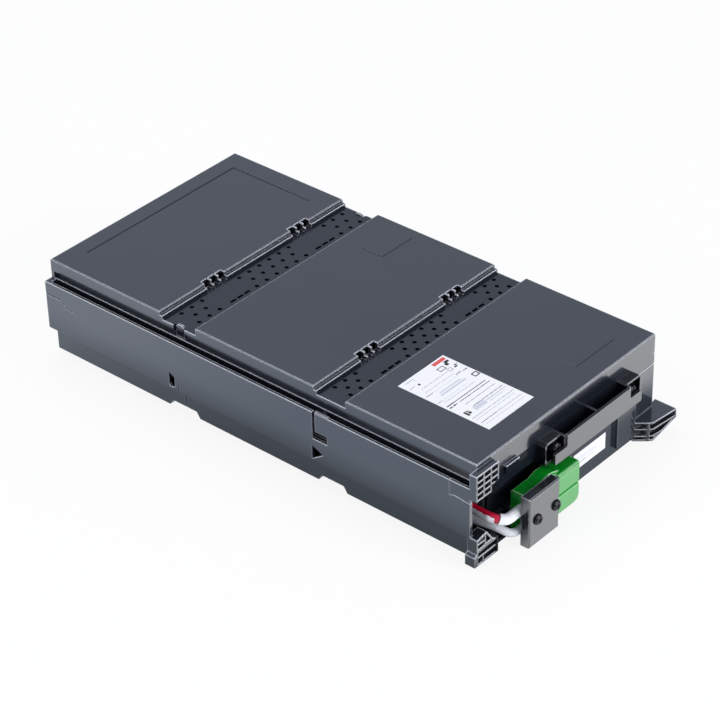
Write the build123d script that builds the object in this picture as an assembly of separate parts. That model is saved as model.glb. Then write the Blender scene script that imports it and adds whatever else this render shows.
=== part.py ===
"""Battery cartridge for a two-unit-high power supply.

A moulded tray holds six sealed 12-volt blocks in three rows. A cover with three
raised panels and two perforated channels closes it. A pull handle and a two-pole
connector, fed by two short leads, are on the front.

Millimetres, +Z up. X runs to the right as seen from the front, and Y from the
front to the rear. The origin is the centre of the tray's base, on the floor.
"""
from math import cos, pi, radians, sin, sqrt, tan
import os

from build123d import *

# Body
body_width = 208.0
body_length = 420.0
body_height = 82.0
wall = 2.5
gap = 0.3
seam_gap = 0.8
line_width = 0.8
line_depth = 0.5

# Cover
rear_channel = 34.0
front_channel = 27.5
channel_depth = 6.0
channel_plate = 2.0
ledge_drop = 3.0
ledge_width = 2.7
skirt_height = 10.1
groove_height = 5.5
groove_depth = 2.8
lintel_clearance = 8.3
lintel_right_inset = 24.0
seam_rise = 8.3
skirt_recess = 1.3
cover_edge = 0.6

# Sunk field of the rear panel and raised pads of the other two
field_depth = 0.6
field_left = 24.2
field_right = 18.0
field_front = 21.4
field_rear = 15.0
pad_rise = 0.4
middle_pad_width = 36.0
middle_pad_length = 21.0
middle_pad_right = 10.0
middle_pad_rear = 22.5
front_pad_width = 46.0
front_pad_length = 16.0
front_pad_right = 25.0
front_pad_front = 19.0

# Perforations and clip windows
hole_diameter = 3.8
hole_sides = 8
hole_pitch = 11.2
first_row = 0.16
row_pitch = 0.27
pattern_shift = 2.6
side_field_inset = 23.8
clip_shift = 4.4
clip_inset = 31.8
clip_window = 6.2
clip_pitch = 7.7
clip_depth = 4.0
dash_width = 2.2
latch_width = 9.0
tongue_thickness = 2.0
tongue_setback = 1.5
tongue_rise = 10.8

# Tray
rim_thickness = 1.2
rim_inset = 5.5
band_proud = 7.6
band_drop = 0.6
band_bottom = 23.3
band_setback = 9.5
duct_depth = 26.0
bridge_height = 5.2
bridge_inset = 1.8
rear_bridge_length = 28.6
front_bridge_length = 24.8
bridge_slope = 4.0
stop_height = 12.0
stop_thickness = 2.0
notch_length = 13.8
notch_bottom = 42.4
finger_length = 12.2
finger_bottom = 49.1
finger_gap = 2.4

# Front bay of the tray
bay_depth = 9.6
bay_left_inset = 24.0
foot_top = 25.9
foot_depth = 6.3
foot_width = 24.8
foot_flange = 2.4
rib = 1.3
horn_top = 17.2
horn_left_inset = 26.2
horn_reach = 16.1
horn_overhang = 8.7
horn_levels = (1.9, 5.3, 11.5)
horn_core = 5.0
panel_plate_inset = 47.4
panel_plate_depth = 3.1
panel_plate_foot = 5.5
panel_plate_drop = 1.8
small_block_inset = 30.0
small_block_width = 14.5
small_block_depth = 2.4
small_block_rise = 2.1
small_block_height = 7.1

# Corner block of the cover
corner_width = 24.8
corner_depth = 5.7
corner_top_drop = 3.5
corner_height = 21.7
corner_step = 5.7
corner_step_width = 7.9
lug_length = 18.2
lug_drop = 3.4
lug_rise = 1.3

# Sealed blocks
terminal_space = 17.5
lead_corridor = 19.5
side_room = 3.2
block_edge = 2.0
block_gap = 0.3
pad_thickness = 1.0
lid_pad_thickness = 5.7
pad_margin = 6.0
tab_width = 6.35
tab_thickness = 0.8
tab_length = 7.9
tab_inset = 12.0
tab_drop = 19.5
boot_width = 12.0
boot_depth = 9.0
boot_height = 10.0

# Leads
jumper_diameter = 4.0
jumper_sides = 8
lead_diameter = 6.4
lead_sides = 12
arc_share = 0.45
chord_turn = 15.0
sleeve_thickness = 0.9
lane_offset = 5.1
lane_spacing = 8.6
lead_drop = 3.6
loop_run = 26.0

# Connector
connector_middle = 22.2
housing_height = 17.0
housing_depth = 14.2
housing_inset = 38.0
housing_length = 57.6
housing_edge = 1.0
hood_length = 23.6
hood_proud = 2.6
hood_bevel = 2.7
hood_corner = 5.0
hood_line = 2.4
mouth_width = 10.4
mouth_height = 11.0
mouth_depth = 16.0
entry_depth = 8.0
contact_barrel = 5.0
contact_width = 8.0
contact_thickness = 1.4
leaf_length = 24.0
leaf_rise = 3.2
leaf_inset = 1.7
leaf_offset = 15.0
plate_inset = 31.3
plate_width = 34.1
plate_height = 42.8
plate_thickness = 8.0
plate_edge = 1.0
plate_screw_inset = 9.1
plate_screw_spacing = 21.0

# Handle
handle_centre = 19.8
handle_width = 114.0
handle_lap = 1.7
handle_box_width = 19.2
handle_box_depth = 8.0
handle_box_height = 18.9
handle_corner = 2.5
grip_inset = 5.5
grip_step = 13.9
grip_reach = 12.7
grip_thickness = 2.4
grip_height = 18.4
grip_notch = 9.3
grip_edge = 0.8
grip_rail = 7.0
grip_rail_height = 12.0
handle_wall = 1.6
handle_floor = 2.4
handle_screw_inset = 12.4
handle_screw_rise = 10.4

# Screws and their bosses
screw_diameter = 3.4
screw_head = 8.6
screw_head_height = 2.2
screw_crown = 1.2
screw_sides = 16
cross_length = 4.4
cross_width = 1.0
cross_depth = 1.2
boss_diameter = 8.0
boss_sides = 12
fit = 0.2

# Labels
label_thickness = 0.25
top_label_width = 50.5
top_label_left = 37.8
top_label_front = 19.6
top_label_rear = 16.9
front_label_left = 0.2
front_label_right = 0.18
front_label_foot = 11.8
front_label_height = 14.2
front_label_corner = 3.5

# Values worked out from the sizes above
half = body_width / 2
front = -body_length / 2
rear = body_length / 2
panel_length = (body_length - rear_channel - front_channel) / 3
channel_floor = body_height - channel_depth
rim_top = body_height - skirt_height - groove_height
band_top = rim_top - band_drop
band_outer = half + band_proud
duct_outer = band_outer - wall
duct_floor = band_top - duct_depth
bay_back = front + bay_depth
bay_left = -half + bay_left_inset
cover_inner = half - groove_depth - wall
panels = [
    (rear - panel_length, rear),
    (rear - 2 * panel_length - rear_channel, rear - panel_length - rear_channel),
    (front, front + panel_length),
]
channels = [
    (panels[1][1], panels[0][0]),
    (panels[2][1], panels[1][0]),
]
rear_bridge = (channels[0][0] + bridge_inset, channels[0][0] + bridge_inset + rear_bridge_length)
front_bridge = (channels[1][0] + bridge_inset, channels[1][0] + bridge_inset + front_bridge_length)
latch_y = (channels[0][0] + channels[0][1]) / 2
notch_rear = front_bridge[1] - 1.0
notch_front = notch_rear - notch_length
finger_rear = notch_rear - finger_gap
finger_front = finger_rear - finger_length
side_field = half - side_field_inset
clip_centres = (clip_shift - side_field + clip_inset, clip_shift + side_field - clip_inset)

block_width = (body_width - 2 * wall - side_room - lead_corridor - block_gap) / 2
block_length = panel_length - terminal_space
block_base = wall + pad_thickness
block_top = body_height - wall - gap - lid_pad_thickness
blocks_right = half - wall - side_room
block_columns = {
    "right": blocks_right - block_width / 2,
    "left": blocks_right - block_gap - 1.5 * block_width,
}
# Each row: the Y of its terminal face, and the way that face looks.
block_rows = {
    "rear": (rear - wall - gap - block_length, -1),
    "middle": (rear_bridge[0] - wall - gap, 1),
    "front": (bay_back + wall + gap + block_length, 1),
}
blocks_left = block_columns["left"] - block_width / 2
tab_spread = block_width / 2 - tab_inset
tab_z = block_top - tab_drop
outer_lane = -half + wall + lane_offset
inner_lane = outer_lane + lane_spacing

housing_front = front - housing_depth
housing_left = -half + housing_inset
housing_right = housing_left + housing_length
bay_right = housing_right + 3.4
plate_left = -half + plate_inset
plate_back = housing_front
plate_front = plate_back - plate_thickness
upper_axis = connector_middle + housing_height / 2
lower_axis = connector_middle - housing_height / 2
lead_axis_y = housing_front + lead_diameter / 2 + 1.2
lintel = connector_middle + housing_height + lintel_clearance
lintel_left = -band_outer + corner_width
lintel_right = half - lintel_right_inset
seam = lintel + seam_rise
corner_top = body_height - corner_top_drop
corner_bottom = corner_top - corner_height
horn_left = half - horn_left_inset
horn_right = half + horn_overhang
panel_plate_left = half - panel_plate_inset

handle_bottom = lintel - handle_lap
handle_front = front - grip_reach
handle_box_front = front - handle_box_depth
handle_left = handle_centre - handle_width / 2
handle_right = handle_centre + handle_width / 2
handle_inner_left = handle_left + handle_box_width
handle_inner_right = handle_right - handle_box_width
handle_screw_z = handle_bottom + handle_screw_rise
panel_plate_top = handle_bottom - panel_plate_drop


def block(x0, x1, y0, y1, z0, z1):
    """Box between two opposite corners."""
    centre = Pos((x0 + x1) / 2, (y0 + y1) / 2, (z0 + z1) / 2)
    return centre * Box(x1 - x0, y1 - y0, z1 - z0)


def prism_x(outline, x0, x1):
    """Prism along X with an outline of (y, z) points."""
    face = make_face(Polyline(*[(x0, y, z) for y, z in outline], close=True))
    return extrude(face, amount=x1 - x0, dir=(1, 0, 0))


def prism_y(outline, y0, y1):
    """Prism along Y with an outline of (x, z) points."""
    face = make_face(Polyline(*[(x, y0, z) for x, z in outline], close=True))
    return extrude(face, amount=y1 - y0, dir=(0, 1, 0))


def prism_z(outline, z0, z1):
    """Prism along Z with an outline of (x, y) points."""
    face = make_face(Polyline(*[(x, y, z0) for x, y in outline], close=True))
    return extrude(face, amount=z1 - z0, dir=(0, 0, 1))


def rod_x(x0, x1, y, z, diameter, sides=lead_sides):
    """Bar along X with a many-sided section."""
    start = Plane(origin=(x0, y, z), x_dir=(0, 1, 0), z_dir=(1, 0, 0))
    return extrude(start * RegularPolygon(diameter / 2, sides), amount=x1 - x0, dir=(1, 0, 0))


def rod_y(y0, y1, x, z, diameter, sides=boss_sides):
    """Bar along Y with a many-sided section."""
    start = Plane(origin=(x, y0, z), x_dir=(1, 0, 0), z_dir=(0, 1, 0))
    return extrude(start * RegularPolygon(diameter / 2, sides), amount=y1 - y0, dir=(0, 1, 0))


def clear_of(diameter, sides, room):
    """Diameter across the corners of a many-sided hole that clears a round bar by room."""
    return (diameter + 2 * room) / cos(pi / sides)


def mirror_x(shape):
    """Copy on the other side of the middle plane."""
    return mirror(shape, about=Plane.YZ)


def cover_outline():
    """Side view of the cover's top: three panels, two channels and two ledges."""
    ledge = body_height - ledge_drop
    points = [(front, rim_top), (front, body_height)]
    for low, high in reversed(channels):
        points += [(low, body_height), (low, channel_floor), (high, channel_floor), (high, ledge),
                   (high + ledge_width, ledge), (high + ledge_width, body_height)]
    return points + [(rear, body_height), (rear, rim_top)]


def outer_row():
    """X of the holes of an outer row, in three fields."""
    fields = ((-side_field, 3), (0.0, 6), (side_field, 3))
    return [pattern_shift + centre + hole_pitch * (i - (count - 1) / 2)
            for centre, count in fields for i in range(count)]


def middle_row():
    """X of the holes of the middle row, half a pitch from the outer rows."""
    columns = outer_row()
    return [(a + b) / 2 for a, b in zip(columns, columns[1:]) if b - a < 1.5 * hole_pitch]


def channel_cuts(low, high):
    """Three staggered rows of holes, with the clip windows and their dashes, of one channel."""
    pitch = row_pitch * (high - low)
    first = high - first_row * (high - low)
    section = RegularPolygon(hole_diameter / 2, hole_sides, rotation=180 / hole_sides)
    cuts = []
    for row, columns in enumerate((outer_row(), middle_row(), outer_row())):
        for x in columns:
            spot = Pos(x, first - row * pitch, channel_floor - 1.5 * channel_plate)
            cuts.append(extrude(spot * section, amount=2 * channel_plate, dir=(0, 0, 1)))
    last = first - 2 * pitch
    for centre in clip_centres:
        for step in (-1, 0, 1):
            x0 = centre + step * clip_pitch - clip_window / 2
            x1 = x0 + clip_window
            cuts.append(block(x0, x1, last - dash_width / 2, last + dash_width / 2,
                              channel_floor - 2 * channel_plate, body_height))
            cuts.append(block(x0, x1, high - 1, high + ledge_width + clip_depth,
                              channel_floor, body_height + 1))
    return cuts


def sunk_field():
    """Shallow sunk field of the rear panel."""
    low, high = panels[0]
    return block(-half + field_left, half - field_right, low + field_front, high - field_rear,
                 body_height - field_depth, body_height + 1)


def raised_pads():
    """Low pads on the middle and front panels."""
    right = half - middle_pad_right
    back = panels[1][1] - middle_pad_rear
    middle = block(right - middle_pad_width, right, back - middle_pad_length, back,
                   body_height - 1, body_height + pad_rise)
    right = half - front_pad_right
    face = front + front_pad_front
    return middle + block(right - front_pad_width, right, face, face + front_pad_length,
                          body_height - 1, body_height + pad_rise)


def lug_outline(room):
    """Side view of the lug behind the corner block, enlarged by room below and behind."""
    foot = corner_bottom - lug_drop - room
    crest = front + 0.74 * lug_length
    return [(front - room, foot), (crest, foot + lug_rise), (front + lug_length + room, foot),
            (front + lug_length + room, band_top + room), (front - room, band_top + room)]


def corner_block():
    """Ribbed block at the front left, with open pockets, and the lug behind it."""
    left = -band_outer
    right = left + corner_width
    face = front - corner_depth
    body = block(left, right, face, front + 0.5, corner_bottom, corner_top)
    body -= block(right - corner_step_width, right + 1, face - 1, front + 1,
                  corner_bottom - 1, corner_bottom + corner_step)
    cell_width = (corner_width - 4 * rib) / 3
    cell_height = (corner_height - 5 * rib) / 4
    for column in range(3):
        for row in range(4):
            if column == 2 and row == 0:
                continue
            x = left + rib + column * (cell_width + rib)
            z = corner_bottom + rib + row * (cell_height + rib)
            low = z + 0.5 if (column == 2 and row == 1) else z
            body -= block(x, x + cell_width, face - 1, front - rib, low, z + cell_height)
    return body + prism_x(lug_outline(0), left, -duct_outer)


def make_cover():
    """Cover with skirts, rail grooves, front skirt and corner block."""
    body = prism_x(cover_outline(), -half, half)
    level = body.faces().filter_by(Axis.Z)
    tops = level.filter_by_position(Axis.Z, body_height - 0.01, body_height + 0.01)
    body = chamfer(tops.edges(), cover_edge)
    body += raised_pads()
    body -= sunk_field()
    body += block(-half, half, front, front + wall, seam + seam_gap, channel_floor)
    body += block(lintel_left, lintel_right, front, front + wall, lintel, channel_floor)
    body -= block(-cover_inner, cover_inner, front + wall, rear - wall, rim_top - 1,
                  channel_floor - channel_plate)
    for panel_front, panel_rear in panels:
        ledge = 0 if panel_front == front else ledge_width
        body -= block(-half + wall, half - wall, panel_front + ledge + wall, panel_rear - wall,
                      channel_floor - channel_plate - 0.1, body_height - wall)
    groove = block(half - groove_depth, half + 1, front + 0.5, rear - wall - 0.5, rim_top - 1,
                   rim_top + groove_height)
    latch_back = half - tongue_setback - tongue_thickness - gap
    latch = block(latch_back, half + 1, latch_y - latch_width / 2, latch_y + latch_width / 2,
                  rim_top, body_height + 1)
    body -= groove + latch
    body -= mirror_x(groove + latch)
    for low, high in channels:
        for cut in channel_cuts(low, high):
            body -= cut

    # The skirt steps back between the corner block and the handle.
    block_left = -half + small_block_inset
    body -= block(block_left, handle_left, front - 1, front + skirt_recess, lintel - 1, seam + 1)
    body += block(block_left, block_left + small_block_width, front - small_block_depth, front + 1,
                  seam + small_block_rise, seam + small_block_rise + small_block_height)
    for x in handle_screws_x():
        body += rod_y(front + wall - 0.5, bay_back - gap, x, handle_screw_z, boss_diameter)
        body -= rod_y(front - 1, bay_back - gap - 1, x, handle_screw_z,
                      clear_of(screw_diameter, boss_sides, 0))
    return body + corner_block()


def handle_screws_x():
    """X of the two screws of the handle."""
    return [handle_left + handle_screw_inset, handle_right - handle_screw_inset]


def bridge_outline(span):
    """Side view of the raised floor under a channel, with sloped ends."""
    low, high = span
    return [(low - bridge_slope / 2, -1), (low + bridge_slope / 2, bridge_height),
            (high - 1, bridge_height), (high + 2, -1)]


def band_outline():
    """End view of the band that stands out of a long side."""
    return [(half - 1, band_bottom - band_proud - 1), (band_outer, band_bottom),
            (band_outer, band_top), (half - 1, band_top)]


def band_hollow_outline():
    """End view of the wiring space inside the band, below the duct."""
    slant = wall * sqrt(2)
    top = duct_floor - wall
    low_x = half - wall - 1
    return [(low_x, band_bottom - (band_outer - low_x) + slant), (duct_outer, band_bottom - wall + slant),
            (duct_outer, top), (low_x, top)]


def make_left_foot():
    """Ribbed foot below the bay: three fins, an upper gusset and a side flange."""
    left = -band_outer
    right = left + foot_width
    face = front - foot_depth
    web = block(left, right, front - 2, front + wall, 0, 14.0)
    gusset = prism_y([(left, 12.0), (left, foot_top - 2), (left + 11, foot_top), (left + 18, 15.5),
                      (right, 14)], face, front + wall)
    pocket = prism_y([(left + rib, 14 + rib), (left + rib, foot_top - 4), (left + 10.4, foot_top - 2),
                      (left + 15.5, 15.5 + rib)], face - 1, front - 2)
    gusset -= pocket
    gusset += block(left + 8.8, left + 8.8 + rib, face, front, 14, foot_top - 1)
    gusset += block(left, left + 9, face, front, 19.0, 19.0 + rib)
    fins = block(left, right - 1, face, front, 13.0, 13.0 + rib)
    fins += block(left - foot_flange / 2, right - 1, face, front, 7.4, 7.4 + rib)
    fins += block(left - foot_flange, right - 1, face, front, 1.2, 1.2 + rib)
    cheek = prism_y([(left - foot_flange, 1.2), (left - foot_flange, 9.6), (left, 11.6), (left, 13.5),
                     (left + rib, 13.5), (left + rib, 1.2)], face, front + wall)
    ends = block(right - 1 - rib, right - 1, face, front, 1.2, 13.5)
    ends += block(left + 6.4, left + 6.4 + rib, face, front, 1.2, 7.5)
    return web + gusset + fins + cheek + ends


def make_horn():
    """Finned horn at the lower right, with an underside that rises to its tip."""
    tip = front - horn_reach
    ramp_foot = (horn_left - 0.5, front - 2.3)
    ramp_top = (horn_left + 6.3, tip + 5.5)
    bend = (horn_left + 9.7, tip + 2.6)
    side = [(horn_right, front + 3.5), (half - 1, front + wall), (horn_left, front + wall)]
    plan = [(horn_left, front), ramp_foot, ramp_top, bend, (horn_right, tip)] + side
    sunk = [(horn_left, front), (ramp_top[0] + 2, ramp_top[1] + horn_core),
            (bend[0] + 1, bend[1] + horn_core), (horn_right - rib, tip + horn_core)] + side
    body = prism_z(sunk, 0.6, horn_top)
    body += prism_z(plan, horn_top - rib, horn_top)
    for level in horn_levels:
        body += prism_z(plan, level - rib, level)
    solid = prism_z(plan, 0.6, horn_top)
    body += solid & block(ramp_top[0], ramp_top[0] + rib, tip, front, 0.6, horn_top)
    body += solid & block(horn_right - rib, horn_right, tip, front, 0.6, horn_top)
    rise_foot = (bend[0], 0.6)
    rise_end = (horn_right, 9.6)
    slanted = prism_y([rise_foot, rise_end, (horn_right, rise_end[1] + rib), (bend[0], 0.6 + rib)],
                      tip, front)
    body += solid & slanted
    below = prism_y([(horn_left - 2, -1), (horn_left - 2, 0.6), rise_foot,
                     (horn_right + 1, rise_end[1] + 0.36), (horn_right + 1, -1)], tip - 1, front)
    return body - below


def make_tray():
    """Tray with bands, ducts, raised floor, front bay, foot and horn."""
    body = block(-half, half, front, rear, 0, rim_top)
    right_band = prism_y(band_outline(), front + band_setback, rear)
    left_band = mirror_x(prism_y(band_outline(), front, rear))
    body += right_band + left_band
    low = wall
    high = bridge_height + wall
    floor = [(front + wall, low), (front_bridge[0] - wall, low), (front_bridge[0] - wall, high),
             (front_bridge[1] + wall, high), (front_bridge[1] + wall, low), (rear_bridge[0] - wall, low),
             (rear_bridge[0] - wall, high), (rear_bridge[1] + wall, high), (rear_bridge[1] + wall, low),
             (rear - wall, low), (rear - wall, rim_top - rim_thickness),
             (front + wall, rim_top - rim_thickness)]
    body -= prism_x(floor, -half + wall, half - wall)
    body -= block(-half + rim_inset, half - rim_inset, front + wall, rear - wall, high, rim_top + 1)
    for span in (rear_bridge, front_bridge):
        body -= prism_x(bridge_outline(span), -half - 1, half + 1)
    hollow = prism_y(band_hollow_outline(), front + band_setback + wall, rear - 2 * wall)
    duct = block(half, duct_outer, front + band_setback + wall, rear - 2 * wall, duct_floor, band_top + 1)
    body -= hollow + duct
    hollow = prism_y(band_hollow_outline(), front - 1, rear - 2 * wall)
    duct = block(half, duct_outer, front - 1, rear - 2 * wall, duct_floor, band_top + 1)
    body -= mirror_x(hollow + duct)

    # The cover's front skirt and corner lug take the place of the upper front edge.
    body -= block(-half, half + 1, front - 1, front + wall + gap, seam, body_height)
    body -= prism_x(lug_outline(gap), -band_outer - 1, -half - 0.05)

    # The bay at the front left is open to the lead corridor.
    body -= block(lintel_left, lintel_right, front - 1, front + wall + gap, lintel, seam + 1)
    body -= block(-duct_outer, bay_right - wall, front - 1, bay_back, foot_top, seam)
    body -= block(-half + wall, bay_right - wall, front - 1, bay_back, wall, seam)
    body += block(bay_left, bay_right, bay_back, bay_back + wall, 1, rim_top - rim_thickness - gap)
    body += block(bay_right - wall, bay_right, front, bay_back + 1, 1, lintel)

    body += battery_stops()
    body += notches_added()
    for cut in notch_cuts():
        body -= cut
    for x in plate_screws_x():
        body += rod_y(front, bay_back + 1, x, connector_middle, boss_diameter)
        body -= rod_y(front - 1, bay_back + 1, x, connector_middle,
                      clear_of(screw_diameter, boss_sides, 0))
    body += block(panel_plate_left, horn_left + 1, front - panel_plate_depth, front + 1,
                  panel_plate_foot, panel_plate_top)
    return body + make_left_foot() + make_horn()


def battery_stops():
    """Low ribs across the floor at the terminal end of the rear, middle and front rows."""
    stops = None
    places = [block_rows["rear"][0] - gap - stop_thickness,
              block_rows["middle"][0] - block_length - gap - stop_thickness,
              block_rows["front"][0] + gap]
    for y in places:
        stop = block(blocks_left, half - wall + 1, y, y + stop_thickness, wall - 1, stop_height)
        stops = stop if stops is None else stops + stop
    return stops


def notches_added():
    """Spring finger in the band notch and latch tongues at the rear channel."""
    finger = block(-band_outer + 0.5, -band_outer + wall, finger_front, finger_rear,
                   finger_bottom, band_top + 0.7)
    tongue_low = latch_y - latch_width / 2 + gap
    tongue_high = latch_y + latch_width / 2 - gap
    top = rim_top + tongue_rise
    outer = half - tongue_setback
    tongue = prism_x([(tongue_low, rim_top - 1), (tongue_high, rim_top - 1), (tongue_high, top - 2),
                      (tongue_high - 2, top), (tongue_low + 2, top), (tongue_low, top - 2)],
                     outer - tongue_thickness, outer)
    return finger + tongue + mirror_x(tongue)


def seam_line():
    """Fine stepped seam on the band's rear end."""
    centre = [(rear + 1, band_top - 11.3), (rear - 15.4, band_top - 11.3), (rear - 21.6, band_top - 16.2),
              (rear - 27.8, band_top - 17.2)]
    lower = [(y, z - line_width / 2) for y, z in centre]
    upper = [(y, z + line_width / 2) for y, z in reversed(centre)]
    return prism_x(lower + upper, -band_outer - 1, -band_outer + line_depth)


def notch_cuts():
    """Openings in the left band: L-shaped notch, triangle, slot and fine lines."""
    outer = -band_outer
    inner = -duct_outer + 0.01
    finger_cut = block(outer - 1, inner, finger_rear, notch_rear, notch_bottom, band_top + 1)
    below = block(outer - 1, inner, notch_front, notch_rear, notch_bottom, finger_bottom)
    point = notch_rear + 1
    triangle = prism_x([(point, notch_bottom - 6.2), (point, notch_bottom - 18.1),
                        (point - 10.5, notch_bottom - 11.0)], outer - 1, -duct_outer + 1)
    edge = latch_y + 0.4
    slot = prism_x([(edge + 5.8, band_bottom + 14.8), (edge + 5.8, band_bottom + 3.2),
                    (edge + 4.1, band_bottom + 1.5), (edge, band_bottom + 3.2), (edge, band_bottom + 11.2)],
                   outer - 1, -duct_outer + 1)
    line = latch_y - 3.4
    upper_line = block(outer - 1, outer + line_depth, line, line + line_width, band_bottom, band_bottom + 6.2)
    lower_line = block(-half - 0.01, -half + line_depth, line, line + line_width, -1,
                       band_bottom - band_proud)
    return [finger_cut, below, triangle, slot, upper_line, lower_line, seam_line()]


def plate_screws_x():
    """X of the two screws that hold the connector plate."""
    return [plate_left + plate_screw_inset, plate_left + plate_screw_inset + plate_screw_spacing]


def terminals():
    """Places of all twelve tabs: (x, face y, outward direction)."""
    return [(centre + side * tab_spread, face_y, way)
            for face_y, way in block_rows.values()
            for centre in block_columns.values()
            for side in (-1, 1)]


def make_block(row, column):
    """Sealed 12-volt block that lies on its long side, with a lid line at the terminal end."""
    face_y, way = block_rows[row]
    x = block_columns[column]
    low, high = sorted((face_y, face_y - way * block_length))
    body = block(x - block_width / 2, x + block_width / 2, low, high, block_base, block_top)
    body = chamfer(body.edges().filter_by(Axis.Y), block_edge)
    line_y = face_y - way * 12.0
    ring = block(x - block_width, x + block_width, line_y - line_width / 2, line_y + line_width / 2,
                 0, body_height)
    inside = block(x - block_width / 2 + line_depth, x + block_width / 2 - line_depth, line_y - 1, line_y + 1,
                   block_base + line_depth, block_top - line_depth)
    return body - (ring - inside)


def make_tabs():
    """Blade tabs of the sealed blocks."""
    tabs = []
    for x, face_y, way in terminals():
        low, high = sorted((face_y, face_y + way * tab_length))
        tabs.append(block(x - tab_thickness / 2, x + tab_thickness / 2, low, high,
                          tab_z - tab_width / 2, tab_z + tab_width / 2))
    return Compound(children=tabs)


def make_boots():
    """Insulated push-on connectors over the tabs."""
    boots = []
    for x, face_y, way in terminals():
        low, high = sorted((face_y + way * gap, face_y + way * (gap + boot_depth)))
        body = block(x - boot_width / 2, x + boot_width / 2, low, high,
                     tab_z - boot_height / 2, tab_z + boot_height / 2)
        inner_low, inner_high = sorted((face_y, face_y + way * tab_length))
        slit = block(x - tab_thickness / 2, x + tab_thickness / 2, inner_low, inner_high,
                     tab_z - tab_width / 2, tab_z + tab_width / 2)
        boots.append(body - slit)
    return Compound(children=boots)


def boot_y(row):
    """Y of the middle of a row's push-on connectors."""
    face_y, way = block_rows[row]
    return face_y + way * (gap + boot_depth / 2)


def terminal_x(column, side):
    """X of one terminal; side is -1 for the left tab and 1 for the right one."""
    return block_columns[column] + side * tab_spread


def rounded_route(points):
    """Route with each corner made an arc, as large as its two runs allow, in short chords."""
    corners = [Vector(*point) for point in points]
    route = [corners[0]]
    for before, corner, after in zip(corners, corners[1:], corners[2:]):
        inward = (corner - before).normalized()
        outward = (after - corner).normalized()
        turn = radians(inward.get_angle(outward))
        cut = arc_share * min((corner - before).length, (after - corner).length)
        radius = cut / tan(turn / 2)
        side = (outward - inward * inward.dot(outward)).normalized()
        steps = max(1, round(turn / radians(chord_turn)))
        for step in range(steps + 1):
            angle = turn * step / steps
            along = inward * (radius * sin(angle) - cut)
            route.append(corner + along + side * (radius * (1 - cos(angle))))
    return route + [corners[-1]]


def along_route(route, section):
    """Section swept along a route of short chords."""
    path = Polyline(*route)
    start = Plane(origin=path @ 0, z_dir=path % 0)
    return sweep(start * section, path=path, transition=Transition.RIGHT)


def bent_wire(points, diameter, sides):
    """Wire with a many-sided section, along straight runs joined by arcs."""
    return along_route(rounded_route(points), RegularPolygon(diameter / 2, sides))


def straight_jumper(row):
    """Short jumper from the left column to the right one."""
    left = terminal_x("left", 1) + boot_width / 2
    right = terminal_x("right", -1) - boot_width / 2
    return rod_x(left, right, boot_y(row), tab_z, jumper_diameter, jumper_sides)


def rear_loop_jumper():
    """Jumper that loops from the rear row to the middle row at the right."""
    x = terminal_x("right", 1) - boot_width / 2
    y0 = boot_y("rear")
    y1 = boot_y("middle")
    inward = x - 4 * jumper_diameter
    points = [(x, y0, tab_z), (inward, y0, tab_z), (inward, y1, tab_z), (x, y1, tab_z)]
    return bent_wire(points, jumper_diameter, jumper_sides)


def corridor_jumper():
    """Jumper that runs down the lead corridor from the middle row to the front row."""
    x = terminal_x("left", -1) - boot_width / 2
    y0 = boot_y("middle")
    y1 = boot_y("front")
    points = [(x, y0, tab_z), (inner_lane, y0, tab_z), (inner_lane, y1, tab_z), (x, y1, tab_z)]
    return bent_wire(points, jumper_diameter, jumper_sides)


def positive_route():
    """Route of the positive lead, from the front right block to the upper pole."""
    x = terminal_x("right", 1) - boot_width / 2
    y = boot_y("front")
    lane = inner_lane - 0.7
    run = x - lane
    inside = [(x, y, tab_z), (x - 18, y, tab_z), (x - 0.25 * run, y + 14, tab_z + 8),
              (x - 0.56 * run, y + 18, tab_z + 11), (x - 0.865 * run, y + 14, tab_z + 10),
              (lane, y + 2, tab_z + 7), (lane - 3, y - 49, (tab_z + 7 + lead_z(upper_axis)) / 2),
              (lane - 2.3, front + loop_run, lead_z(upper_axis) + 4)]
    return inside + positive_loop()


def negative_route():
    """Route of the negative lead, from the rear left block to the lower pole."""
    x = terminal_x("left", -1) - boot_width / 2
    y = boot_y("rear")
    start = y - 16
    run = (start - front - 60) / 3
    low = lead_z(lower_axis)
    inside = [(x, y, tab_z), (x - 12, y, tab_z), (outer_lane, start, tab_z - 2),
              (outer_lane - 0.3, start - run, tab_z - 12), (outer_lane, start - 2 * run, low + 18),
              (outer_lane + 1.4, front + 60, low + 10), (inner_lane - 1.5, front + loop_run - 3, low + 8)]
    return inside + negative_loop()


def lead_z(axis_z):
    """Height at which a lead enters the housing on this axis."""
    return axis_z - lead_drop


def positive_loop():
    """Loop of the positive lead in front of the bay."""
    z = lead_z(upper_axis)
    return [(inner_lane - 2.8, front - 3, z + 3.4), (inner_lane + 3.6, lead_axis_y, z),
            (housing_left + entry_depth, lead_axis_y, z)]


def negative_loop():
    """Loop of the negative lead in front of the bay."""
    z = lead_z(lower_axis)
    return [(inner_lane + 5.4, front - 0.5, z + 6), (inner_lane + 11.4, lead_axis_y, z),
            (housing_left + entry_depth, lead_axis_y, z)]


def make_sleeve():
    """White sleeve round the positive lead, from the middle of its bend to the connector."""
    loop = positive_loop()
    middle = (Vector(*loop[0]) + Vector(*loop[1])) / 2
    route = [middle] + rounded_route(loop)[1:-1] + [Vector(housing_left, lead_axis_y, loop[1][2])]
    bore = clear_of(lead_diameter, lead_sides, 0.02)
    outer = RegularPolygon(lead_diameter / 2 + sleeve_thickness, lead_sides)
    return along_route(route, outer - RegularPolygon(bore / 2, lead_sides))


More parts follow.
